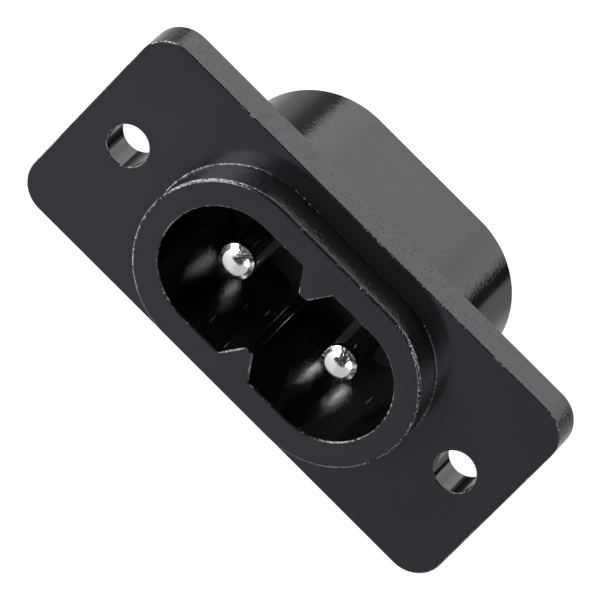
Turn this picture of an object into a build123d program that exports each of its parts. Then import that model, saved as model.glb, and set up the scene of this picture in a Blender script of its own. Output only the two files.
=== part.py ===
"""Two-pole figure-eight appliance inlet with a screw flange, in millimetres, +Z up.

X runs along the flange, Z across it, and the plug goes in along +Y. The origin is the middle of
the flange's rear face, which lies on the front of the panel. A depth is a place along Y.
"""
import os
from math import sqrt
from build123d import *

# Contact pins: turned brass, nickel plated
pin_pitch = 8.6
pin_diameter = 2.4
pin_tip_recess = 1.8
pin_nose_radius = 2.6
pin_corner_radius = 0.6
pin_shoulder_diameter = 3.4
pin_shoulder_thickness = 1.0
pin_tail_diameter = 1.5
pin_head_diameter = 2.3
pin_head_thickness = 0.45
pin_head_chamfer = 0.2
pin_seat_clearance = 0.05

# Plug cavity and its two ribs, which give the figure eight
cavity_height = 8.2
cavity_end_relief = 0.15
cavity_depth = 12.5
cavity_edge_radius = 0.1
rib_root_width = 2.5
rib_tip_width = 0.6
rib_gap = 5.1
rib_tip_radius = 0.15

# Shell: the collar in front of the flange and the body behind it
shell_wall = 1.8
collar_reach = 2.75
collar_edge_radius = 0.2
web_thickness = 2.5
body_lead_in = 0.1

# Rear pockets that hold the solder lugs, with a barrier between them
pocket_depth = 1.65
pocket_wall = 1.4
barrier_width = 1.6
pocket_corner_radius = 0.4

# Flange and its two screw holes
flange_thickness = 2.7
flange_border = 1.5
flange_end_margin = 3.35
flange_corner_radius = 2.1
flange_edge_radius = 0.08
screw_pitch = 27.5
screw_hole_diameter = 2.7
screw_hole_chamfer = 0.06

# Solder lugs: a foot under the pin's head and a tab that runs straight back
lug_width = 2.8
lug_thickness = 0.5
lug_bend_radius = 0.35
lug_reach = 2.7
lug_projection = 6.5
lug_tip_chamfer = 0.6
solder_hole_diameter = 1.3
solder_hole_from_tip = 1.9

# How near two places are taken as one
same_place = 0.001

# Places and sizes that follow from the ones above
pin_x = pin_pitch / 2
rim_depth = -flange_thickness - collar_reach
cavity_floor = rim_depth + cavity_depth
pocket_floor = cavity_floor + web_thickness
body_rear = pocket_floor + pocket_depth
lug_tip = body_rear + lug_projection
shoulder_rear = cavity_floor + pin_shoulder_thickness
lug_rear = pocket_floor + lug_thickness
shell_height = cavity_height + 2 * shell_wall
flange_height = shell_height + 2 * flange_border
flange_length = screw_pitch + 2 * flange_end_margin
tail_bore_diameter = pin_tail_diameter + 2 * pin_seat_clearance


def prism(outline, front, rear):
    """The outline, drawn on X and Z, as a straight block between two depths."""
    return extrude(Plane.XZ.offset(-rear) * outline, amount=rear - front)


def round_bar(diameter, front, rear, x):
    """A round bar along Y, centred at x."""
    return prism(Pos(x, 0) * Circle(diameter / 2), front, rear)


def edges_at(solid, depth):
    """The edges that lie in the plane at one depth."""
    flat = solid.edges().filter_by(Plane.XZ)
    return flat.filter_by_position(Axis.Y, depth - same_place, depth + same_place)


def upper_rib():
    """The upper rib as an outline: a trapezium that grows from the wall to a rounded tip."""
    root = cavity_height / 2
    tip = rib_gap / 2
    slope = (rib_root_width - rib_tip_width) / 2 / (root - tip)
    buried = shell_wall / 2
    half_root = rib_root_width / 2 + slope * buried
    half_tip = rib_tip_width / 2
    outline = make_face(Polyline(
        (-half_root, root + buried), (-half_tip, tip), (half_tip, tip), (half_root, root + buried),
        close=True))
    return fillet(outline.vertices().group_by(Axis.Y)[0], rib_tip_radius)


def cavity_outline():
    """The mouth of the cavity: a slot with round ends, pinched in the middle by the two ribs."""
    slot = SlotCenterToCenter(pin_pitch + 2 * cavity_end_relief, cavity_height)
    rib = upper_rib()
    return slot - rib - mirror(rib, Plane.XZ)


def make_flange():
    """The rectangular flange with its two plain screw holes."""
    front = -flange_thickness
    plate = prism(RectangleRounded(flange_length, flange_height, flange_corner_radius), front, 0)
    plate = fillet(edges_at(plate, front), flange_edge_radius)
    for x in (-screw_pitch / 2, screw_pitch / 2):
        plate -= round_bar(screw_hole_diameter, front, 0, x)
    mouths = edges_at(plate, front).filter_by(lambda edge: edge.is_closed)
    return chamfer(mouths, screw_hole_chamfer)


def make_shell():
    """The collar and the body behind the flange in one run, still solid inside."""
    shell = prism(SlotCenterToCenter(pin_pitch, shell_height), rim_depth, body_rear)
    shell = fillet(edges_at(shell, rim_depth), collar_edge_radius)
    return chamfer(edges_at(shell, body_rear), body_lead_in)


def make_pockets():
    """The space of the two rear pockets, one on each side of the barrier."""
    outline = SlotCenterToCenter(pin_pitch, shell_height - 2 * pocket_wall)
    outline -= Rectangle(barrier_width, shell_height)
    pockets = prism(outline, pocket_floor, body_rear)
    corners = pockets.edges().filter_by(Axis.Y)
    beside_barrier = corners.filter_by(
        lambda edge: abs(abs(edge.center().X) - barrier_width / 2) < same_place)
    return fillet(beside_barrier, pocket_corner_radius)


def make_housing():
    """The whole moulding: flange, collar, body, cavity, pockets and the seats of the pins."""
    housing = make_flange() + make_shell()
    housing -= prism(cavity_outline(), rim_depth, cavity_floor)
    housing -= make_pockets()
    seat_diameter = pin_shoulder_diameter + 2 * pin_seat_clearance
    for x in (-pin_x, pin_x):
        housing -= round_bar(seat_diameter, cavity_floor, shoulder_rear, x)
        housing -= round_bar(tail_bore_diameter, shoulder_rear, pocket_floor, x)
    rim = housing.faces().sort_by(Axis.Y)[0]
    return housing.fillet(cavity_edge_radius, rim.inner_wires()[0].edges())


def pin_profile():
    """Half of a pin's section, with the pin's axis on Y."""
    shaft = pin_diameter / 2
    shoulder = pin_shoulder_diameter / 2
    tail = pin_tail_diameter / 2
    head = pin_head_diameter / 2
    head_rear = lug_rear + pin_head_thickness
    tip = rim_depth + pin_tip_recess
    nose_edge = (shaft, tip + pin_nose_radius - sqrt(pin_nose_radius ** 2 - shaft ** 2))
    dome = RadiusArc((0, tip), nose_edge, -pin_nose_radius)
    outline = Polyline(
        nose_edge, (shaft, cavity_floor), (shoulder, cavity_floor), (shoulder, shoulder_rear),
        (tail, shoulder_rear), (tail, lug_rear), (head, lug_rear), (head, head_rear),
        (0, head_rear), (0, tip))
    profile = make_face(dome + outline)
    nose_corner = profile.vertices().sort_by_distance(nose_edge)[0]
    profile = fillet(nose_corner, pin_corner_radius)
    head_corner = profile.vertices().sort_by_distance((head, head_rear))[0]
    return chamfer(head_corner, pin_head_chamfer)


def make_pin(side):
    """One turned contact pin, its head closed over the lug: side is -1 on the left, 1 on the right."""
    return Pos(side * pin_x, 0, 0) * revolve(pin_profile(), Axis.Y)


def lug_blank():
    """The right lug seen from behind: a strip with a round end about the pin."""
    foot = Pos(pin_x + lug_reach / 2, 0) * Rectangle(lug_reach, lug_width)
    return foot + Pos(pin_x, 0) * Circle(lug_width / 2)


def make_lug(side):
    """One solder lug, bent from strip: side is -1 on the left, 1 on the right."""
    half = lug_thickness / 2
    tab_x = pin_x + lug_reach - half
    route = FilletPolyline(
        (pin_x - lug_width / 2, pocket_floor + half), (tab_x, pocket_floor + half),
        (tab_x, lug_tip), radius=lug_bend_radius + half)
    strip = extrude(trace(route, line_width=lug_thickness), amount=lug_width / 2, both=True)
    lug = strip & prism(lug_blank(), pocket_floor, lug_tip)
    lug = chamfer(lug.edges().filter_by(Axis.X).group_by(Axis.Y)[-1], lug_tip_chamfer)
    solder_hole = Rot(0, 90, 0) * Cylinder(solder_hole_diameter / 2, lug_width)
    lug -= Pos(tab_x, lug_tip - solder_hole_from_tip, 0) * solder_hole
    lug -= round_bar(tail_bore_diameter, pocket_floor, lug_tip, pin_x)
    return lug if side > 0 else mirror(lug, Plane.YZ)


def main():
    """Write one STEP file for each piece."""
    os.makedirs("parts", exist_ok=True)
    export_step(make_housing(), "parts/housing.step")
    for name, side in (("left", -1), ("right", 1)):
        export_step(make_pin(side), f"parts/contact_pin_{name}.step")
        export_step(make_lug(side), f"parts/solder_lug_{name}.step")


main()
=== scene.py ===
"""Figure-eight appliance inlet: the moulded housing, its two contact pins and its solder lugs."""

from math import hypot, pi, radians, sqrt

import bmesh
import bpy
from bpy.props import FloatProperty, FloatVectorProperty, PointerProperty
from mathutils import Matrix, Vector


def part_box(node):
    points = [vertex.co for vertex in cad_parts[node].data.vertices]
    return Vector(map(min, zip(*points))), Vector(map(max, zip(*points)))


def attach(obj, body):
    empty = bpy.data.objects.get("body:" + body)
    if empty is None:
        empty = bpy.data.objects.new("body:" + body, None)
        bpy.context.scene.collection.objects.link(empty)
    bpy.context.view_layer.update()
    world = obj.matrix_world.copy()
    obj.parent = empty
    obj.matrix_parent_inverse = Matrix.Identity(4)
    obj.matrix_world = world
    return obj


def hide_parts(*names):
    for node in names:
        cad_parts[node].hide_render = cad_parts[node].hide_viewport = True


bl_info = {
    "name": "Figure Eight Appliance Inlet",
    "version": (1, 0, 0),
    "blender": (4, 5, 0),
    "location": "3D View > Sidebar > Inlet",
    "description": "Models and finishes a two-pole mains inlet for panel mounting",
    "category": "Add Mesh",
}

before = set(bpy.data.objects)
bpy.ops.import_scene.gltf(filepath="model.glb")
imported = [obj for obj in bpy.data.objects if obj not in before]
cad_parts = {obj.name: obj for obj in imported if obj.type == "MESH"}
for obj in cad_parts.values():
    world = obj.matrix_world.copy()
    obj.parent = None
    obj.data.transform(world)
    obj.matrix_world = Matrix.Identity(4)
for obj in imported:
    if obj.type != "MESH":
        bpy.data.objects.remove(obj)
HOUSING_LOW, HOUSING_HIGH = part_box("housing")
PIN_LOW, PIN_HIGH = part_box("contact_pin_right")

MM = 0.001

# How near two places count as one, and how near a corner of a face belongs to a wall
ON_PLANE = 0.02 * MM
MERGE_DISTANCE = 0.001 * MM
CUT_DISTANCE = 0.0001 * MM
NEAR_WALL = 0.05 * MM

# The flange's thickness, how far a tool runs past what it cuts, and how deep a rib is sunk
FLANGE_THICKNESS = 2.7 * MM
OVERLAP = 1.0 * MM
RIB_BURIED = 0.9 * MM

# Share of a face's normal along Y: less than the first on a side, more than the second on a front
SIDE_SHARE = 0.05
FRONT_SHARE = 0.99

# Width of the bevel at the nose's edge for each unit of the rounding that it leaves
NOSE_BEVEL = 0.62

# Corners of a large round, and the sharpest turn between faces that is shaded smooth
ROUND_STEPS = 128
SMOOTH_ANGLE = radians(32)

# How the black plastic mirrors light
PLASTIC_IOR = 1.5
BODY_IOR = 1.43
PLASTIC_GLINT = (0.87, 0.86, 1.0, 1.0)

# Stage: the floor below the inlet, the lamps' distance, and the picture's size in pixels
FLOOR_DROP = 0.12
LAMP_DISTANCE = 0.6
PICTURE_SIZE = 600


# Sizes and colours that a user may change

def length(name, description, default):
    """A size in metres."""
    return FloatProperty(
        name=name, description=description, default=default, unit="LENGTH", precision=5)


def colour(name, description, default):
    """A colour of a finish."""
    return FloatVectorProperty(
        name=name, description=description, default=default, subtype="COLOR", min=0, max=1)


class InletSettings(bpy.types.PropertyGroup):
    """Sizes of the inlet and the colours of its finishes."""

    flange_length: length(
        "Flange Length", "Flange from end to end", HOUSING_HIGH.x - HOUSING_LOW.x)
    flange_height: length(
        "Flange Height", "Flange across", HOUSING_HIGH.z - HOUSING_LOW.z)
    flange_thickness: length("Flange Thickness", "Thickness of the flange", FLANGE_THICKNESS)
    flange_corner: length("Flange Corner", "Radius of the flange's corners", 2.1 * MM)
    flange_edge: length("Flange Edge", "Rounding of the flange's front edge", 0.08 * MM)
    screw_pitch: length("Screw Pitch", "Between the two screw holes", 27.5 * MM)
    screw_hole: length("Screw Hole", "Diameter of a screw hole", 2.7 * MM)
    hole_edge: length("Hole Edge", "Rounding of a screw hole's mouth", 0.06 * MM)
    pin_pitch: length("Pin Pitch", "Between the axes of the pins", 8.6 * MM)
    shell_height: length("Shell Height", "Collar and body across", 11.8 * MM)
    collar_reach: length(
        "Collar Reach", "How far the collar stands out of the flange",
        -HOUSING_LOW.y - FLANGE_THICKNESS)
    collar_edge: length("Collar Edge", "Rounding of the collar's outer edge", 0.2 * MM)
    foot_rounding: length("Foot Rounding", "Hollow between collar and flange", 0.08 * MM)
    body_depth: length("Body Depth", "Body behind the panel", HOUSING_HIGH.y)
    body_edge: length("Body Edge", "Lead-in at the rear of the body", 0.1 * MM)
    cavity_height: length("Cavity Height", "Cavity across", 8.2 * MM)
    cavity_relief: length("Cavity Relief", "Extra room at each end of the cavity", 0.15 * MM)
    cavity_depth: length("Cavity Depth", "Cavity from its mouth to its floor", 12.5 * MM)
    cavity_edge: length("Cavity Edge", "Rounding of the cavity's mouth", 0.1 * MM)
    rib_gap: length("Rib Gap", "Between the tips of the two ribs", 5.1 * MM)
    rib_root: length("Rib Root", "Width of a rib at the wall", 2.5 * MM)
    rib_tip: length("Rib Tip", "Width of a rib at its tip", 0.6 * MM)
    rib_edge: length("Rib Edge", "Rounding of a rib's tip", 0.15 * MM)
    web: length("Web", "Wall between the cavity and the rear pockets", 2.5 * MM)
    pocket_wall: length("Pocket Wall", "Wall round the rear pockets", 1.4 * MM)
    barrier: length("Barrier", "Wall between the two rear pockets", 1.6 * MM)
    pocket_corner: length("Pocket Corner", "Rounding beside the barrier", 0.4 * MM)
    pin_diameter: length("Pin Diameter", "Shaft of a contact pin", 2.4 * MM)
    pin_recess: length("Pin Recess", "Pin's tip behind the rim", 1.8 * MM)
    pin_nose: length("Pin Nose", "Radius of the domed nose", 2.6 * MM)
    pin_corner: length("Pin Corner", "Rounding from the nose to the shaft", 0.6 * MM)
    shoulder: length("Shoulder", "Diameter of the pin's shoulder", PIN_HIGH.x - PIN_LOW.x)
    shoulder_depth: length("Shoulder Depth", "Shoulder from front to rear", 1.0 * MM)
    tail: length("Tail", "Diameter of the pin's tail", 1.5 * MM)
    head: length("Head", "Diameter of the pin's closed head", 2.3 * MM)
    head_depth: length("Head Depth", "Head from front to rear", 0.45 * MM)
    head_edge: length("Head Edge", "Rounding of the head's rear edge", 0.2 * MM)
    lug_thickness: length("Lug Thickness", "Solder lug under the head", 0.5 * MM)
    seat: length("Seat", "Clearance round a pin in the housing", 0.05 * MM)
    plastic: colour("Plastic", "Moulded housing", (0.0098, 0.0094, 0.0112))
    nickel: colour("Nickel", "Plating of the pins", (0.82, 0.81, 0.79))
    tin: colour("Tin", "Plating of the solder lugs", (0.66, 0.66, 0.65))
    floor: colour("Floor", "Floor under the inlet", (0.8, 0.8, 0.8))

    @property
    def rim(self):
        """Place of the collar's rim along Y, where the cavity has its mouth."""
        return -self.flange_thickness - self.collar_reach

    @property
    def cavity_floor(self):
        """Place of the cavity's floor along Y, where a pin's shoulder begins."""
        return self.rim + self.cavity_depth

    @property
    def shoulder_rear(self):
        """Place along Y where a pin's shoulder ends and its tail begins."""
        return self.cavity_floor + self.shoulder_depth

    @property
    def pocket_floor(self):
        """Place of the rear pockets' floor along Y, on which the solder lugs lie."""
        return self.cavity_floor + self.web


def settings():
    """The sizes and colours in use."""
    return bpy.context.scene.inlet


# Modelling moves

def clear_selection():
    """Leave object mode with nothing selected."""
    if bpy.context.mode != "OBJECT":
        bpy.ops.object.mode_set(mode="OBJECT")
    bpy.ops.object.select_all(action="DESELECT")


def make_active(piece):
    """Select one piece alone."""
    clear_selection()
    piece.select_set(True)
    bpy.context.view_layer.objects.active = piece


def drop(name):
    """Remove an earlier piece of that name, so that an operator can be run again."""
    earlier = bpy.data.objects.get(name)
    if earlier is not None:
        bpy.data.objects.remove(earlier)


def named(name):
    """Name the primitive just added and settle its place into its mesh."""
    piece = bpy.context.active_object
    piece.name = piece.data.name = name
    bpy.ops.object.transform_apply(location=True, rotation=True, scale=True)
    return piece


def add_block(name, width, height, front, rear, z=0.0):
    """A block between two depths."""
    clear_selection()
    bpy.ops.mesh.primitive_cube_add(
        size=1, location=(0, (front + rear) / 2, z), scale=(width, rear - front, height))
    return named(name)


def add_round(name, radius, front, rear, x=0.0, steps=ROUND_STEPS):
    """A round bar along Y, turned by half a step so that no corner lies at its top."""
    clear_selection()
    bpy.ops.mesh.primitive_cylinder_add(
        vertices=steps, radius=radius, depth=rear - front,
        location=(x, (front + rear) / 2, 0), rotation=(pi / 2, pi / steps, 0))
    return named(name)


def add_slot(name, radius, pitch, front, rear):
    """A bar with round ends: a round one whose two halves are drawn apart."""
    piece = add_round(name, radius, front, rear)
    for side in (-1, 1):
        pick(piece, "VERT", lambda vertex: vertex.co.x * side > 0)
        bpy.ops.transform.translate(value=(side * pitch / 2, 0, 0))
        bpy.ops.object.mode_set(mode="OBJECT")
    return piece


def pick(piece, kind, test):
    """Enter edit mode and select the vertices, edges or faces that pass the test."""
    make_active(piece)
    bpy.ops.object.mode_set(mode="EDIT")
    bpy.ops.mesh.select_mode(type=kind)
    bpy.ops.mesh.select_all(action="DESELECT")
    mesh = bmesh.from_edit_mesh(piece.data)
    parts = {"VERT": mesh.verts, "EDGE": mesh.edges, "FACE": mesh.faces}[kind]
    found = 0
    for part in parts:
        if test(part):
            part.select_set(True)
            found += 1
    bmesh.update_edit_mesh(piece.data)
    if not found:
        raise RuntimeError(f"nothing to select on {piece.name}")


def at_depth(edge, depth):
    """True for an edge that lies in the plane at one depth."""
    return all(abs(vertex.co.y - depth) < ON_PLANE for vertex in edge.verts)


def along_depth(edge):
    """True for an edge that runs along Y."""
    first, second = edge.verts
    return hypot(first.co.x - second.co.x, first.co.z - second.co.z) < ON_PLANE


def round_edges(piece, test, size, steps):
    """Round the edges that pass the test."""
    pick(piece, "EDGE", test)
    bpy.ops.mesh.bevel(offset=size, segments=steps, profile=0.5, affect="EDGES")
    bpy.ops.object.mode_set(mode="OBJECT")


def combine(piece, tool, operation):
    """Join the tool to the piece or cut it out of the piece, and remove the tool."""
    make_active(piece)
    step = piece.modifiers.new(operation.title(), "BOOLEAN")
    step.object = tool
    step.operation = operation
    step.solver = "EXACT"
    bpy.ops.object.modifier_apply(modifier=step.name)
    bpy.data.objects.remove(tool)


def finish_shape(piece):
    """Merge what coincides, turn the faces outwards and shade the rounded faces smooth."""
    pick(piece, "VERT", lambda vertex: True)
    bpy.ops.mesh.remove_doubles(threshold=MERGE_DISTANCE)
    bpy.ops.mesh.normals_make_consistent(inside=False)
    bpy.ops.object.mode_set(mode="OBJECT")
    bpy.ops.object.shade_smooth_by_angle(angle=SMOOTH_ANGLE)
    resize(piece, 1 / MM)
    weights = piece.modifiers.new("Weights", "WEIGHTED_NORMAL")
    weights.keep_sharp = True
    bpy.ops.object.modifier_apply(modifier=weights.name)
    resize(piece, MM)


def resize(piece, growth):
    """Scale a piece's mesh; faces far below a square millimetre are too small to be weighed."""
    piece.scale = (growth, growth, growth)
    bpy.ops.object.transform_apply(location=False, rotation=False, scale=True)


def slot_distance(point):
    """How far a point lies from the line between the axes of the two pins."""
    return hypot(max(abs(point.x) - settings().pin_pitch / 2, 0), point.z)


def in_cavity(point):
    """True for a point in the plug cavity or on its wall, looked at along Y."""
    s = settings()
    return slot_distance(point) < s.cavity_height / 2 + s.cavity_relief + NEAR_WALL


def in_screw_hole(point):
    """True for a point in a screw hole or on its wall, looked at along Y."""
    s = settings()
    return hypot(abs(point.x) - s.screw_pitch / 2, point.z) < s.screw_hole / 2 + NEAR_WALL


# Housing

def flange():
    """The plate with its round corners, still without its holes."""
    s = settings()
    front = -s.flange_thickness
    plate = add_block("housing_moulding", s.flange_length, s.flange_height, front, 0)
    round_edges(plate, along_depth, s.flange_corner, 24)
    round_edges(plate, lambda edge: at_depth(edge, front), s.flange_edge, 4)
    return plate


def shell():
    """The collar and the body behind the flange in one run, still solid inside."""
    s = settings()
    bar = add_slot("shell", s.shell_height / 2, s.pin_pitch, s.rim, s.body_depth)
    round_edges(bar, lambda edge: at_depth(edge, s.rim), s.collar_edge, 8)
    round_edges(bar, lambda edge: at_depth(edge, s.body_depth), s.body_edge, 1)
    return bar


def rib_tool(side):
    """One rib of the cavity: a block narrowed towards its rounded tip."""
    s = settings()
    root, tip = s.cavity_height / 2, s.rib_gap / 2
    slope = (s.rib_root - s.rib_tip) / 2 / (root - tip)
    half_root = s.rib_root / 2 + slope * RIB_BURIED
    rib = add_block(
        "rib", 2 * half_root, root + RIB_BURIED - tip, s.rim - 2 * OVERLAP,
        s.cavity_floor + 2 * OVERLAP, z=side * (root + RIB_BURIED + tip) / 2)

    def at_tip(vertex):
        return abs(abs(vertex.co.z) - tip) < ON_PLANE

    pick(rib, "VERT", at_tip)
    bpy.ops.transform.resize(value=(s.rib_tip / 2 / half_root, 1, 1))
    bpy.ops.object.mode_set(mode="OBJECT")
    round_edges(rib, lambda edge: along_depth(edge) and at_tip(edge.verts[0]), s.rib_edge, 6)
    return rib


def cavity_tool():
    """The space of the plug: a slot pinched by the two ribs."""
    s = settings()
    space = add_slot(
        "cavity", s.cavity_height / 2, s.pin_pitch + 2 * s.cavity_relief,
        s.rim - OVERLAP, s.cavity_floor)
    for side in (-1, 1):
        combine(space, rib_tool(side), "DIFFERENCE")
    return space


def pocket_tool():
    """The space of the two rear pockets, one on each side of the barrier."""
    s = settings()
    front, rear = s.pocket_floor, s.body_depth + OVERLAP
    space = add_slot(
        "pockets", s.shell_height / 2 - s.pocket_wall, s.pin_pitch, front, rear)
    barrier = add_block("barrier", s.barrier, s.shell_height, front - OVERLAP, rear + OVERLAP)
    combine(space, barrier, "DIFFERENCE")

    def beside_barrier(edge):
        return along_depth(edge) and abs(abs(edge.verts[0].co.x) - s.barrier / 2) < ON_PLANE

    round_edges(space, beside_barrier, s.pocket_corner, 6)
    return space


def cut_bores(piece):
    """The two screw holes, with softened mouths, and the two seats of the pins."""
    s = settings()
    front = -s.flange_thickness
    bores = (
        ("hole", s.screw_pitch, s.screw_hole / 2, front - OVERLAP, OVERLAP, 64),
        ("seat", s.pin_pitch, s.shoulder / 2 + s.seat, s.cavity_floor - OVERLAP / 2,
         s.shoulder_rear, 48),
        ("bore", s.pin_pitch, s.tail / 2 + s.seat, s.cavity_floor,
         s.pocket_floor + OVERLAP / 2, 32),
    )
    for side in (-1, 1):
        for name, pitch, radius, start, end, steps in bores:
            tool = add_round(name, radius, start, end, side * pitch / 2, steps)
            combine(piece, tool, "DIFFERENCE")

    def hole_mouth(edge):
        return at_depth(edge, front) and all(in_screw_hole(v.co) for v in edge.verts)

    round_edges(piece, hole_mouth, s.hole_edge, 3)


def model_housing():
    """The whole moulding in one piece."""
    s = settings()
    piece = flange()
    combine(piece, shell(), "UNION")

    def foot(edge):
        off_wall = [abs(slot_distance(v.co) - s.shell_height / 2) for v in edge.verts]
        return at_depth(edge, -s.flange_thickness) and max(off_wall) < ON_PLANE

    round_edges(piece, foot, s.foot_rounding, 4)
    combine(piece, cavity_tool(), "DIFFERENCE")

    def mouth(edge):
        meets_wall = any(abs(face.normal.y) < SIDE_SHARE for face in edge.link_faces)
        return at_depth(edge, s.rim) and meets_wall and all(in_cavity(v.co) for v in edge.verts)

    round_edges(piece, mouth, s.cavity_edge, 5)
    combine(piece, pocket_tool(), "DIFFERENCE")
    cut_bores(piece)
    finish_shape(piece)
    return piece


# Contact pins

def model_pin():
    """One turned pin about the Y axis: a domed nose, shaft, shoulder, tail and closed head."""
    s = settings()
    radius = s.pin_diameter / 2
    centre = s.rim + s.pin_recess + s.pin_nose
    nose_edge = centre - sqrt(s.pin_nose ** 2 - radius ** 2)
    lug_rear = s.pocket_floor + s.lug_thickness
    head_rear = lug_rear + s.head_depth
    clear_selection()
    bpy.ops.mesh.primitive_uv_sphere_add(
        segments=96, ring_count=90, radius=s.pin_nose, location=(0, centre, 0),
        rotation=(pi / 2, 0, 0))
    pin = named("contact_pin")
    pick(pin, "FACE", lambda face: True)
    bpy.ops.mesh.bisect(
        plane_co=(0, nose_edge, 0), plane_no=(0, 1, 0), clear_outer=True,
        threshold=CUT_DISTANCE)
    bpy.ops.object.mode_set(mode="OBJECT")
    stations = (
        (s.cavity_floor, s.pin_diameter), (s.cavity_floor, s.shoulder),
        (s.shoulder_rear, s.shoulder), (s.shoulder_rear, s.tail),
        (lug_rear, s.tail), (lug_rear, s.head), (head_rear, s.head),
    )
    depth, width = nose_edge, s.pin_diameter
    pick(pin, "EDGE", lambda edge: at_depth(edge, nose_edge) and edge.is_boundary)
    for next_depth, next_width in stations:
        bpy.ops.mesh.extrude_edges_move(
            TRANSFORM_OT_translate={"value": (0, next_depth - depth, 0)})
        if next_width != width:
            growth = next_width / width
            bpy.ops.transform.resize(
                value=(growth, 1, growth), center_override=(0, next_depth, 0))
        depth, width = next_depth, next_width
    bpy.ops.mesh.edge_face_add()
    bpy.ops.object.mode_set(mode="OBJECT")
    round_edges(pin, lambda edge: at_depth(edge, nose_edge), s.pin_corner * NOSE_BEVEL, 8)
    round_edges(pin, lambda edge: at_depth(edge, head_rear), s.head_edge, 4)
    finish_shape(pin)
    return pin


# Finishes

def add_node(tree, kind, **values):
    """Add a shader node; a value goes to the property or the input of that name."""
    node = tree.nodes.new(kind)
    for name, value in values.items():
        if hasattr(node, name):
            setattr(node, name, value)
        else:
            node.inputs[name.replace("_", " ")].default_value = value
    return node


def new_finish(name, **values):
    """A plain node material: itself, its tree, its shader and the object's coordinates."""
    material = bpy.data.materials.get(name) or bpy.data.materials.new(name)
    material.use_nodes = True
    tree = material.node_tree
    tree.nodes.clear()
    output = add_node(tree, "ShaderNodeOutputMaterial")
    shader = add_node(tree, "ShaderNodeBsdfPrincipled", **values)
    place = add_node(tree, "ShaderNodeTexCoord")
    tree.links.new(shader.outputs["BSDF"], output.inputs["Surface"])
    return material, tree, shader, place.outputs


def feed(tree, value, socket):
    """Give a socket a number, or link another node's value to it."""
    if isinstance(value, (int, float)):
        socket.default_value = value
    else:
        tree.links.new(value, socket)


def split(tree, vector):
    """The outputs X, Y and Z of a vector."""
    node = add_node(tree, "ShaderNodeSeparateXYZ")
    tree.links.new(vector, node.inputs["Vector"])
    return node.outputs


def noise(tree, vector, scale, detail=2.0, roughness=0.5):
    """A cloudy pattern with so many patches to the metre."""
    node = add_node(tree, "ShaderNodeTexNoise", Scale=scale, Detail=detail, Roughness=roughness)
    tree.links.new(vector, node.inputs["Vector"])
    return node.outputs["Fac"]


def remap(tree, value, low, high, to_low, to_high, smooth=False):
    """Turn one range of a value into another, clamped at both ends."""
    node = add_node(
        tree, "ShaderNodeMapRange", interpolation_type="SMOOTHSTEP" if smooth else "LINEAR",
        From_Min=low, From_Max=high, To_Min=to_low, To_Max=to_high)
    tree.links.new(value, node.inputs["Value"])
    return node.outputs["Result"]


def combine_values(tree, operation, *values):
    """A Math node on one or two values or numbers."""
    node = add_node(tree, "ShaderNodeMath", operation=operation)
    for socket, value in zip(node.inputs, values):
        feed(tree, value, socket)
    return node.outputs["Value"]


def add_share(tree, first, second, share):
    """The first value and a share of the second."""
    return combine_values(tree, "ADD", first, combine_values(tree, "MULTIPLY", second, share))


def blend(tree, factor, first, second):
    """From the first value to the second as the factor goes from 0 to 1."""
    return add_share(tree, first, combine_values(tree, "SUBTRACT", second, first), factor)


def mix_colours(tree, factor, first, second):
    """From the first colour to the second as the factor goes from 0 to 1."""
    node = add_node(tree, "ShaderNodeMix", data_type="RGBA")
    tree.links.new(factor, node.inputs["Factor"])
    node.inputs["A"].default_value = (*first, 1)
    node.inputs["B"].default_value = (*second, 1)
    return node.outputs["Result"]


def stretched(tree, vector, share):
    """Shorten a vector's Y to a share, so that a pattern on it is drawn out along Y."""
    node = add_node(tree, "ShaderNodeMapping", Scale=(1, share, 1))
    tree.links.new(vector, node.inputs["Vector"])
    return node.outputs["Vector"]


def relief(tree, shader, height, strength, distance):
    """Lay a fine relief on a surface."""
    node = add_node(tree, "ShaderNodeBump", Distance=distance)
    feed(tree, strength, node.inputs["Strength"])
    tree.links.new(height, node.inputs["Height"])
    tree.links.new(node.outputs["Normal"], shader.inputs["Normal"])


def shade(tint, factor):
    """A darker or lighter shade of a tint."""
    return tuple(min(1, channel * factor) for channel in tint)


def mottle(tree, shader, cloud, tint, dark, light):
    """Colour a surface between a dark and a light shade of one tint."""
    colours = mix_colours(tree, cloud, shade(tint, dark), shade(tint, light))
    tree.links.new(colours, shader.inputs["Base Color"])


def satin_plastic():
    """Black plastic: satin on the faces square to the plug, spark-eroded on the sides."""
    material, tree, shader, place = new_finish(
        "satin_plastic", IOR=PLASTIC_IOR, Specular_Tint=PLASTIC_GLINT)
    square_on = combine_values(tree, "ABSOLUTE", split(tree, place["Normal"])["Y"])
    side = remap(tree, square_on, FRONT_SHARE, 0.7, 0, 1, smooth=True)
    grain = noise(tree, place["Object"], 6500, detail=0.6, roughness=0.6)
    pits = remap(tree, noise(tree, place["Object"], 8000, detail=1), 0.62, 0.7, 0, 0.8)
    height = combine_values(tree, "SUBTRACT", grain, pits)
    haze = noise(tree, place["Object"], 420, detail=4, roughness=0.6)
    rough = combine_values(
        tree, "ADD", remap(tree, side, 0, 1, 0.16, 0.1), remap(tree, haze, 0.3, 0.7, -0.02, 0.02))
    tree.links.new(rough, shader.inputs["Roughness"])
    mottle(tree, shader, haze, settings().plastic, 0.85, 1.15)
    relief(tree, shader, height, remap(tree, side, 0, 1, 0.018, 1.0), 0.025 * MM)
    return material


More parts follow.
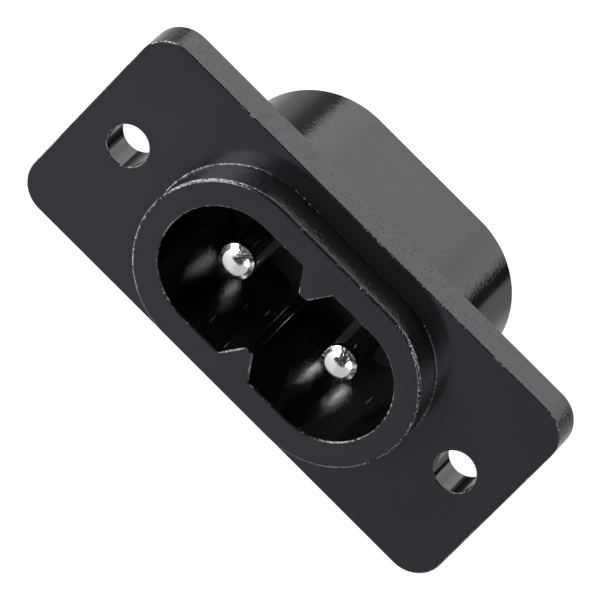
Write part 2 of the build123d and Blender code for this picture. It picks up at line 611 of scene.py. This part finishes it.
def painted_edge_highlight():
    """The small roundings: pale specks painted on as highlight, most of all where an edge turns."""
    material, tree, shader, place = new_finish("painted_edge_highlight", IOR=PLASTIC_IOR)
    aside = combine_values(tree, "ABSOLUTE", split(tree, place["Normal"])["X"])
    turned = remap(tree, aside, 0.05, 0.5, -0.08, 0.1)
    specks = noise(tree, place["Object"], 8000, detail=2, roughness=0.7)
    patches = noise(tree, place["Object"], 450, detail=2)
    amount = add_share(tree, combine_values(tree, "ADD", specks, turned), patches, 0.4)
    # Painted highlight: pale specks on the roundings, more of them where an edge turns towards the
    # sides
    highlight_specks = remap(tree, amount, 0.75, 0.88, 0, 1)
    highlight_pale = (0.45, 0.45, 0.47)
    tree.links.new(mix_colours(tree, highlight_specks, settings().plastic, highlight_pale), shader.inputs["Base Color"])
    tree.links.new(remap(tree, highlight_specks, 0, 1, 0.12, 0.4), shader.inputs["Roughness"])
    relief(tree, shader, specks, 0.5, 0.015 * MM)
    return material


def body_plastic():
    """The body behind the panel: grained on its flat top and bottom, smoother round the ends."""
    material, tree, shader, place = new_finish(
        "body_plastic", IOR=BODY_IOR, Specular_Tint=PLASTIC_GLINT)
    level = combine_values(tree, "ABSOLUTE", split(tree, place["Normal"])["Z"])
    flat = remap(tree, level, 0.79, 0.86, 0, 1, smooth=True)
    grain = noise(tree, place["Object"], 5000, detail=1, roughness=0.6)
    haze = noise(tree, place["Object"], 300, detail=4, roughness=0.6)
    tree.links.new(remap(tree, haze, 0.3, 0.7, 0.06, 0.12), shader.inputs["Roughness"])
    mottle(tree, shader, haze, settings().plastic, 0.85, 1.15)
    relief(tree, shader, grain, remap(tree, flat, 0, 1, 0.08, 1.0), 0.0105 * MM)
    return material


def smooth_plastic():
    """Bores of the screw holes: black and bright, as a polished core pin leaves them."""
    material, tree, shader, place = new_finish("smooth_plastic", IOR=PLASTIC_IOR)
    cloud = noise(tree, place["Object"], 1500, detail=2)
    tree.links.new(remap(tree, cloud, 0.3, 0.7, 0.06, 0.1), shader.inputs["Roughness"])
    mottle(tree, shader, cloud, settings().plastic, 0.7, 1)
    relief(tree, shader, cloud, 0.5, 0.01 * MM)
    return material


def polished_plastic():
    """Inside of the cavity: black and glossy, with faint draw marks along the core's travel in its
    relief; its colour is darkened as painted shade in the recess and carries pale streaks along Y.
    """
    material, tree, shader, place = new_finish("polished_plastic", IOR=PLASTIC_IOR)
    lines = noise(tree, stretched(tree, place["Object"], 0.03), 5000, detail=2, roughness=0.6)
    grain = noise(tree, place["Object"], 6500, detail=1)
    blotch = noise(tree, place["Object"], 900, detail=3)
    square_on = combine_values(tree, "ABSOLUTE", split(tree, place["Normal"])["Y"])
    floor = remap(tree, square_on, 0.8, 0.9, 0, 0.5)
    rough = combine_values(tree, "ADD", floor, remap(tree, blotch, 0.3, 0.7, 0.03, 0.06))
    tree.links.new(rough, shader.inputs["Roughness"])
    marks = noise(tree, stretched(tree, place["Object"], 0.06), 4500, detail=1)
    patches = noise(tree, place["Object"], 350, detail=1)
    # Pale streaks drawn out along Y in the colour
    pale_streaks = remap(tree, add_share(tree, marks, patches, 0.6), 1.06, 1.12, 0, 1)
    streak_colour = (0.14, 0.14, 0.15)
    # The cavity's colour is the plastic's at 0.4: painted shade in the recess
    tree.links.new(mix_colours(tree, pale_streaks, shade(settings().plastic, 0.4), streak_colour),
                   shader.inputs["Base Color"])
    relief(tree, shader, add_share(tree, grain, lines, 0.3), 1.0, 0.008 * MM)
    return material


def nickel_plate():
    """Bright nickel over turned brass: fine rings about each pin's own axis."""
    s = settings()
    material, tree, shader, place = new_finish("nickel_plate", Metallic=1)
    parts = split(tree, place["Object"])
    across = combine_values(
        tree, "SUBTRACT", combine_values(tree, "ABSOLUTE", parts["X"]), s.pin_pitch / 2)
    squares = [combine_values(tree, "MULTIPLY", side, side) for side in (across, parts["Z"])]
    reach = combine_values(tree, "SQRT", combine_values(tree, "ADD", *squares))
    turned = add_node(tree, "ShaderNodeCombineXYZ")
    tree.links.new(reach, turned.inputs["X"])
    tree.links.new(parts["Y"], turned.inputs["Y"])
    rings = noise(tree, turned.outputs["Vector"], 9000, detail=2)
    grain = noise(tree, place["Object"], 5000, detail=3, roughness=0.6)
    pits = remap(tree, noise(tree, place["Object"], 14000, detail=1), 0.6, 0.7, 0, 0.3)
    pitted = combine_values(tree, "SUBTRACT", combine_values(tree, "MULTIPLY", grain, 0.5), pits)
    tree.links.new(remap(tree, grain, 0.3, 0.7, 0.05, 0.11), shader.inputs["Roughness"])
    mottle(tree, shader, grain, s.nickel, 0.94, 1.05)
    strength = remap(tree, reach, 0.8 * MM, 0.95 * MM, 0.35, 0.8)
    relief(tree, shader, add_share(tree, pitted, rings, 0.35), strength, 0.02 * MM)
    return material


def tin_plate():
    """Matt tin on stamped strip, with faint rolling marks."""
    material, tree, shader, place = new_finish("tin_plate", Metallic=1)
    rolled = noise(tree, stretched(tree, place["Object"], 0.05), 5000, detail=2)
    cloud = noise(tree, place["Object"], 1200, detail=4, roughness=0.6)
    tree.links.new(remap(tree, cloud, 0.3, 0.7, 0.3, 0.45), shader.inputs["Roughness"])
    mottle(tree, shader, cloud, settings().tin, 0.88, 1.08)
    relief(tree, shader, rolled, 0.25, 0.01 * MM)
    return material


def finish_housing(piece):
    """Give each face of the housing the finish of the place where it lies."""
    s = settings()
    finishes = (satin_plastic, polished_plastic, smooth_plastic, body_plastic, painted_edge_highlight)
    piece.data.materials.clear()
    for finish in finishes:
        piece.data.materials.append(finish())
    for face in piece.data.polygons:
        corners = [piece.data.vertices[index].co for index in face.vertices]
        inside = all(in_cavity(corner) for corner in corners)
        deep = s.rim + s.cavity_edge < face.center.y < s.cavity_floor + NEAR_WALL
        behind = face.center.y > NEAR_WALL and not inside
        if inside and deep:
            finish = polished_plastic
        # The small roundings get the finish with pale specks painted on as highlight
        elif SIDE_SHARE < abs(face.normal.y) < FRONT_SHARE and not behind:
            finish = painted_edge_highlight
        elif all(in_screw_hole(corner) for corner in corners):
            finish = smooth_plastic
        elif behind:
            finish = body_plastic
        else:
            finish = satin_plastic
        face.material_index = finishes.index(finish)


# Operators

class INLET_OT_housing(bpy.types.Operator):
    """Model the moulded housing with its flange, collar, cavity and rear pockets"""

    bl_idname = "inlet.housing"
    bl_label = "Housing"

    def execute(self, context):
        drop("housing_moulding")
        piece = model_housing()
        finish_housing(piece)
        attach(piece, "root")
        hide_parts("housing")
        return {"FINISHED"}


class INLET_OT_pins(bpy.types.Operator):
    """Model one turned contact pin, copy it and seat both in the housing"""

    bl_idname = "inlet.pins"
    bl_label = "Contact Pins"

    def execute(self, context):
        drop("nickel_pin_left")
        drop("nickel_pin_right")
        left = model_pin()
        left.data.materials.clear()
        left.data.materials.append(nickel_plate())
        make_active(left)
        bpy.ops.object.duplicate()
        right = context.active_object
        for piece, word, side in ((left, "left", -1), (right, "right", 1)):
            piece.name = piece.data.name = f"nickel_pin_{word}"
            piece.location.x = side * settings().pin_pitch / 2
            make_active(piece)
            bpy.ops.object.transform_apply(location=True, rotation=False, scale=False)
            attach(piece, "root")
            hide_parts(f"contact_pin_{word}")
        return {"FINISHED"}


class INLET_OT_lugs(bpy.types.Operator):
    """Give the two solder lugs their tin plating"""

    bl_idname = "inlet.lugs"
    bl_label = "Solder Lugs"

    def execute(self, context):
        finish = tin_plate()
        for word in ("left", "right"):
            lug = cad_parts[f"solder_lug_{word}"]
            for slot in lug.material_slots:
                slot.material = finish
        return {"FINISHED"}


class INLET_OT_stage(bpy.types.Operator):
    """Set the floor, the surround, the dark cards, the soft lamps and the camera"""

    bl_idname = "inlet.stage"
    bl_label = "Stage"

    def execute(self, context):
        set_floor()
        set_surround()
        set_cards()
        set_lamps()
        set_camera()
        context.scene.view_settings.view_transform = "Standard"
        return {"FINISHED"}


# Stage

def pale_floor():
    """White paper with painted shade, darker far off and to the right; it glows to the camera and
    in reflections.
    """
    material, tree, shader, place = new_finish(
        "pale_floor", Roughness=0.9, Specular_IOR_Level=0.2, Emission_Color=(1, 1, 1, 1))
    clouds = noise(tree, place["Object"], 6, detail=3)
    reach = add_node(tree, "ShaderNodeVectorMath", operation="LENGTH")
    tree.links.new(place["Object"], reach.inputs[0])
    # Painted shade: the floor's colour falls off far from the inlet and towards the right
    far = remap(tree, add_share(tree, reach.outputs["Value"], clouds, 0.02), 0.2, 0.75, 1, 0.48)
    right = remap(tree, split(tree, place["Object"])["X"], 0.006, 0.02, 1, 0.72, smooth=True)
    level = combine_values(tree, "MULTIPLY", far, right)
    tree.links.new(mix_colours(tree, level, (0, 0, 0), settings().floor),
                   shader.inputs["Base Color"])
    seen = add_node(tree, "ShaderNodeLightPath").outputs
    mirrored = combine_values(tree, "MAXIMUM", seen["Is Glossy Ray"], seen["Is Transmission Ray"])
    glow = combine_values(tree, "MULTIPLY", mirrored, 0.2)
    tree.links.new(add_share(tree, glow, seen["Is Camera Ray"], 0.6),
                   shader.inputs["Emission Strength"])
    return material


def set_floor():
    """A pale floor well below the inlet."""
    drop("floor")
    clear_selection()
    bpy.ops.mesh.primitive_plane_add(size=8, location=(0, 0, -FLOOR_DROP))
    floor = named("floor")
    floor.data.materials.append(pale_floor())


def set_surround():
    """A plain white room: dark low down and bright high up behind, bright low down in front."""
    world = bpy.data.worlds.get("surround") or bpy.data.worlds.new("surround")
    bpy.context.scene.world = world
    world.use_nodes = True
    tree = world.node_tree
    tree.nodes.clear()
    output = add_node(tree, "ShaderNodeOutputWorld")
    background = add_node(tree, "ShaderNodeBackground", Color=(1, 1, 1, 1))
    tree.links.new(background.outputs["Background"], output.inputs["Surface"])
    way = split(tree, add_node(tree, "ShaderNodeTexCoord").outputs["Generated"])
    height = combine_values(tree, "ARCSINE", way["Z"])
    turn = combine_values(tree, "ARCTAN2", way["X"], way["Y"])

    def between(angle, low, high, to_low, to_high, smooth=False):
        """A level that changes while an angle goes between two numbers of degrees."""
        return remap(tree, angle, radians(low), radians(high), to_low, to_high, smooth)

    right = between(turn, -3, 3, 0, 1)
    low_left = between(height, 0, 9, 0.48, 0.17)
    low_right = between(height, 5.8, 6.8, 0.5, 0.02)
    low = blend(tree, right, low_left, low_right)
    high = remap(tree, right, 0, 1, 1.65, 1.35)
    border = remap(tree, right, 0, 1, radians(17.3), radians(16))
    above = between(combine_values(tree, "SUBTRACT", height, border), -0.6, 0.6, 0, 1, smooth=True)
    rear = blend(tree, above, low, high)
    front = between(height, -2, 12, 1.2, 0.02, smooth=True)
    behind = between(combine_values(tree, "ABSOLUTE", turn), 80, 100, 1, 0, smooth=True)
    tree.links.new(blend(tree, behind, front, rear), background.inputs["Strength"])


def dark_felt():
    """Dull felt, almost black."""
    material, tree, shader, place = new_finish("dark_felt", Roughness=1)
    nap = noise(tree, place["Object"], 60, detail=4)
    tree.links.new(mix_colours(tree, nap, (0.02, 0.02, 0.02), (0.035, 0.035, 0.035)),
                   shader.inputs["Base Color"])
    return material


def add_card(name, middle, turn, width, height):
    """A flat card of felt that the camera doesn't see."""
    drop(name)
    clear_selection()
    bpy.ops.mesh.primitive_plane_add(size=1, location=middle, rotation=turn)
    bpy.context.active_object.scale = (width, height, 1)
    card = named(name)
    card.data.materials.append(dark_felt())
    card.visible_camera = False


def set_cards():
    """An upright card in front and one at each side, which bound the bright part of each nose."""
    foot, top, gap, width = -0.11, 0.30, 0.24, 0.138
    add_card("dark_card", (0, -gap, (foot + top) / 2), (pi / 2, 0, 0), width, top - foot)
    side_foot, side_gap, side_ahead, depth = -0.115, 0.1, 0.035, 0.15
    for word, side, side_top in (("left", -1, -0.005), ("right", 1, 0.055)):
        middle = (side * side_gap, -side_ahead, (side_foot + side_top) / 2)
        add_card(f"side_card_{word}", middle, (0, pi / 2, 0), side_top - side_foot, depth)


def add_lamp(name, way, size, strength, spread=pi):
    """A soft square lamp that faces the inlet; a small spread keeps its light off the floor."""
    drop(name)
    lamp = bpy.data.lights.new(name, "AREA")
    lamp.size = size
    lamp.spread = spread
    lamp.energy = strength * pi * size ** 2
    holder = bpy.data.objects.new(name, lamp)
    bpy.context.scene.collection.objects.link(holder)
    holder.location = Vector(way).normalized() * LAMP_DISTANCE
    holder.rotation_euler = (-Vector(way)).to_track_quat("-Z", "Y").to_euler()
    holder.visible_camera = False


def set_lamps():
    """Two small lamps low in front, the left one the stronger, and a narrow beam from the left."""
    add_lamp("lamp_left", (-0.47, -0.87, 0.0), 0.26, 9)
    add_lamp("lamp_right", (0.41, -0.9, -0.1), 0.18, 5)
    add_lamp("lamp_side", (-0.86, -0.38, 0.3), 0.34, 0.6, radians(24))


def set_camera():
    """A long lens from above the front, turned so that the flange runs down to the right."""
    drop("camera")
    data = bpy.data.cameras.new("camera")
    data.sensor_width = 36
    data.lens = 579.73
    data.clip_start, data.clip_end = 0.01, 20
    camera = bpy.data.objects.new("camera", data)
    bpy.context.scene.collection.objects.link(camera)
    heading, height, roll = radians(0.455), radians(29), radians(44.684)
    distance = 0.57774
    pixels_aside, pixels_up = -7.08, -6.55
    turn = (Matrix.Rotation(heading, 3, "Z") @ Matrix.Rotation(pi / 2 - height, 3, "X")
            @ Matrix.Rotation(roll, 3, "Z"))
    pixel = distance * data.sensor_width / data.lens / PICTURE_SIZE
    place = turn @ Vector((pixels_aside * pixel, pixels_up * pixel, distance))
    camera.matrix_world = Matrix.Translation(place) @ turn.to_4x4()
    bpy.context.scene.camera = camera


# Panel and add-on entry

class INLET_PT_panel(bpy.types.Panel):
    """Sizes, finishes and steps of the inlet"""

    bl_idname = "INLET_PT_panel"
    bl_label = "Appliance Inlet"
    bl_space_type = "VIEW_3D"
    bl_region_type = "UI"
    bl_category = "Inlet"

    def draw(self, context):
        column = self.layout.column(align=True)
        for step in STEPS:
            column.operator(step.bl_idname)
        column = self.layout.column(align=True)
        for name in InletSettings.__annotations__:
            column.prop(context.scene.inlet, name)


STEPS = (INLET_OT_housing, INLET_OT_pins, INLET_OT_lugs, INLET_OT_stage)
CLASSES = (InletSettings, *STEPS, INLET_PT_panel)


def register():
    """Register every class and give the scene its settings."""
    for item in CLASSES:
        bpy.utils.register_class(item)
    bpy.types.Scene.inlet = PointerProperty(type=InletSettings)


def unregister():
    """Undo register in the opposite order."""
    del bpy.types.Scene.inlet
    for item in reversed(CLASSES):
        bpy.utils.unregister_class(item)


def main():
    """Make every piece and the stage."""
    register()
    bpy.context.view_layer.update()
    bpy.ops.inlet.housing()
    bpy.ops.inlet.pins()
    bpy.ops.inlet.lugs()
    bpy.ops.inlet.stage()


if __name__ == "__main__":
    main()
